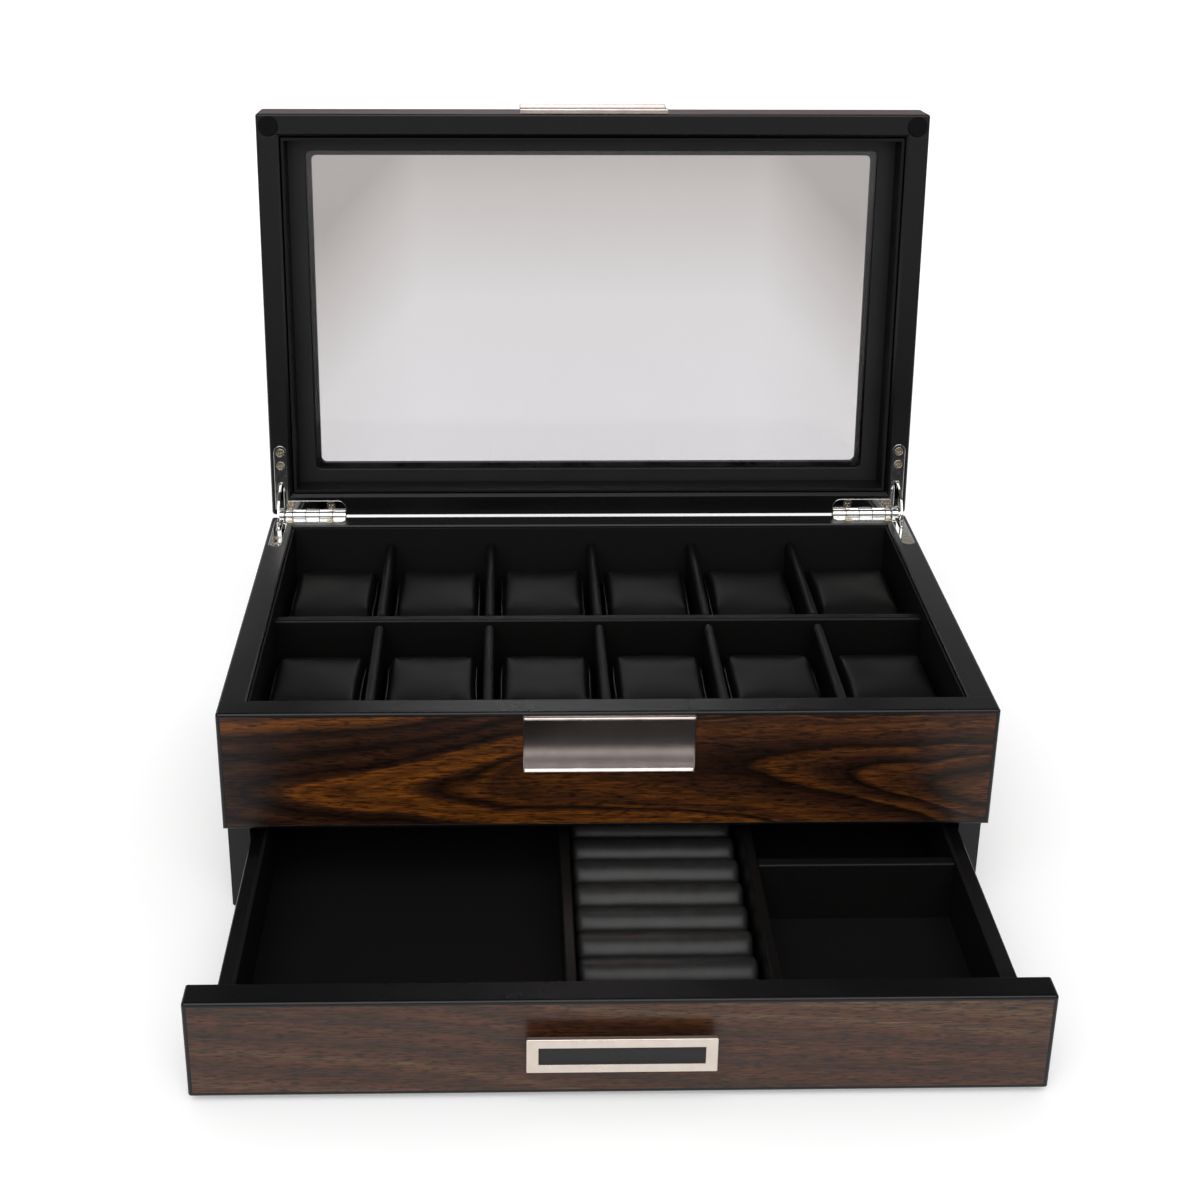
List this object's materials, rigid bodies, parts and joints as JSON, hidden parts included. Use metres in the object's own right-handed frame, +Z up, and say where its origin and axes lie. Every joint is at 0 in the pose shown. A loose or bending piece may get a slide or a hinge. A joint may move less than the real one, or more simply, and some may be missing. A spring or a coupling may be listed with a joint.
{
  "type": "watch box with drawer",
  "caption": "Black lacquered watch box with walnut veneer, a hinged glass lid, a tray of watch pillows in cells and a lined jewellery drawer with ring rolls.",
  "frame": {"origin": "middle of the underside of the shut case, under the middle of the box", "axes": "+Z up, -Y out of the front where the drawer opens, +X to the right seen from the front"},
  "size_m": [0.34, 0.3785, 0.3227],
  "materials": {
    "black_lacquer": "satin black lacquer",
    "walnut": "dark figured walnut veneer, satin gloss",
    "grey_walnut": "straight-grained dark walnut veneer, satin",
    "leatherette": "fine-grained black leatherette",
    "lining": "black suede-like lining",
    "roll_cloth": "dark grey soft cloth",
    "felt": "black felt",
    "brushed_plate": "vertically brushed steel",
    "handle_metal": "satin champagne metal",
    "hinge_metal": "polished chrome",
    "screw_metal": "bright steel",
    "glass": "clear float glass",
    "rubber": "matte black rubber",
    "inlay": "dark woven inlay"
  },
  "bodies": {
    "case": {"case_left_side": "black_lacquer", "case_right_side": "black_lacquer", "case_back": "black_lacquer", "front_panel": "black_lacquer", "front_veneer": "walnut", "side_veneers": "walnut", "tray_floor": "black_lacquer", "tray_lining": "lining", "row_divider": "leatherette", "column_dividers": "leatherette", "bottom_board": "black_lacquer", "drawer_runners": "lining", "base_felt": "felt", "front_plate": "brushed_plate", "left_case_leaf": "hinge_metal", "right_case_leaf": "hinge_metal", "case_hinge_screws": "screw_metal"},
    "lid": {"lid_front_wall": "black_lacquer", "lid_back_wall": "black_lacquer", "lid_left_wall": "black_lacquer", "lid_right_wall": "black_lacquer", "lid_top_frame": "black_lacquer", "lid_veneers": "walnut", "lid_glass": "glass", "glass_retainer": "lining", "lid_lining": "lining", "lid_bumpers": "rubber", "lid_plate": "brushed_plate", "left_lid_leaf": "hinge_metal", "right_lid_leaf": "hinge_metal", "lid_hinge_screws": "screw_metal", "hinge_pins": "screw_metal"},
    "drawer": {"drawer_front": "black_lacquer", "drawer_veneer": "grey_walnut", "drawer_left_side": "black_lacquer", "drawer_right_side": "black_lacquer", "drawer_back": "black_lacquer", "drawer_bottom": "black_lacquer", "drawer_lining": "lining", "left_divider": "leatherette", "right_divider": "leatherette", "cross_divider": "leatherette", "ring_rolls": "roll_cloth", "handle_frame": "handle_metal", "handle_inlay": "inlay", "handle_posts": "handle_metal"},
    "left_stay_bar": {"left_stay": "hinge_metal"},
    "right_stay_bar": {"right_stay": "hinge_metal"},
    "pillow_1": {"watch_pillow_1": "leatherette"},
    "pillow_2": {"watch_pillow_2": "leatherette"},
    "pillow_3": {"watch_pillow_3": "leatherette"},
    "pillow_4": {"watch_pillow_4": "leatherette"},
    "pillow_5": {"watch_pillow_5": "leatherette"},
    "pillow_6": {"watch_pillow_6": "leatherette"},
    "pillow_7": {"watch_pillow_7": "leatherette"},
    "pillow_8": {"watch_pillow_8": "leatherette"},
    "pillow_9": {"watch_pillow_9": "leatherette"},
    "pillow_10": {"watch_pillow_10": "leatherette"},
    "pillow_11": {"watch_pillow_11": "leatherette"},
    "pillow_12": {"watch_pillow_12": "leatherette"}
  },
  "joints": [
    {"name": "lid_hinge", "type": "hinge", "parent": "case", "child": "lid", "pos_m": [0, 0.1063, 0.1085], "axis": [-1, 0, 0], "range_deg": [-94.8, 0]},
    {"name": "left_stay_turn", "type": "hinge", "parent": "case", "child": "left_stay_bar", "pos_m": [0, 0.1063, 0.1085], "axis": [-1, 0, 0], "range_deg": [-47.5, 0.1]},
    {"name": "right_stay_turn", "type": "hinge", "parent": "case", "child": "right_stay_bar", "pos_m": [0, 0.1063, 0.1085], "axis": [-1, 0, 0], "range_deg": [-47.5, 0.1]},
    {"name": "drawer_slide", "type": "slide", "parent": "case", "child": "drawer", "axis": [0, -1, 0], "range_m": [-0.1169, 0.033]},
    {"name": "pillow_1_lift", "type": "slide", "parent": "case", "child": "pillow_1", "axis": [0, 0, 1], "range_m": [0, 0.06]},
    {"name": "pillow_2_lift", "type": "slide", "parent": "case", "child": "pillow_2", "axis": [0, 0, 1], "range_m": [0, 0.06]},
    {"name": "pillow_3_lift", "type": "slide", "parent": "case", "child": "pillow_3", "axis": [0, 0, 1], "range_m": [0, 0.06]},
    {"name": "pillow_4_lift", "type": "slide", "parent": "case", "child": "pillow_4", "axis": [0, 0, 1], "range_m": [0, 0.06]},
    {"name": "pillow_5_lift", "type": "slide", "parent": "case", "child": "pillow_5", "axis": [0, 0, 1], "range_m": [0, 0.06]},
    {"name": "pillow_6_lift", "type": "slide", "parent": "case", "child": "pillow_6", "axis": [0, 0, 1], "range_m": [0, 0.06]},
    {"name": "pillow_7_lift", "type": "slide", "parent": "case", "child": "pillow_7", "axis": [0, 0, 1], "range_m": [0, 0.06]},
    {"name": "pillow_8_lift", "type": "slide", "parent": "case", "child": "pillow_8", "axis": [0, 0, 1], "range_m": [0, 0.06]},
    {"name": "pillow_9_lift", "type": "slide", "parent": "case", "child": "pillow_9", "axis": [0, 0, 1], "range_m": [0, 0.06]},
    {"name": "pillow_10_lift", "type": "slide", "parent": "case", "child": "pillow_10", "axis": [0, 0, 1], "range_m": [0, 0.06]},
    {"name": "pillow_11_lift", "type": "slide", "parent": "case", "child": "pillow_11", "axis": [0, 0, 1], "range_m": [0, 0.06]},
    {"name": "pillow_12_lift", "type": "slide", "parent": "case", "child": "pillow_12", "axis": [0, 0, 1], "range_m": [0, 0.06]}
  ],
  "couplings": [
    {"joint": "left_stay_turn", "follows": "lid_hinge", "ratio": 0.5},
    {"joint": "right_stay_turn", "follows": "lid_hinge", "ratio": 0.5}
  ]
}
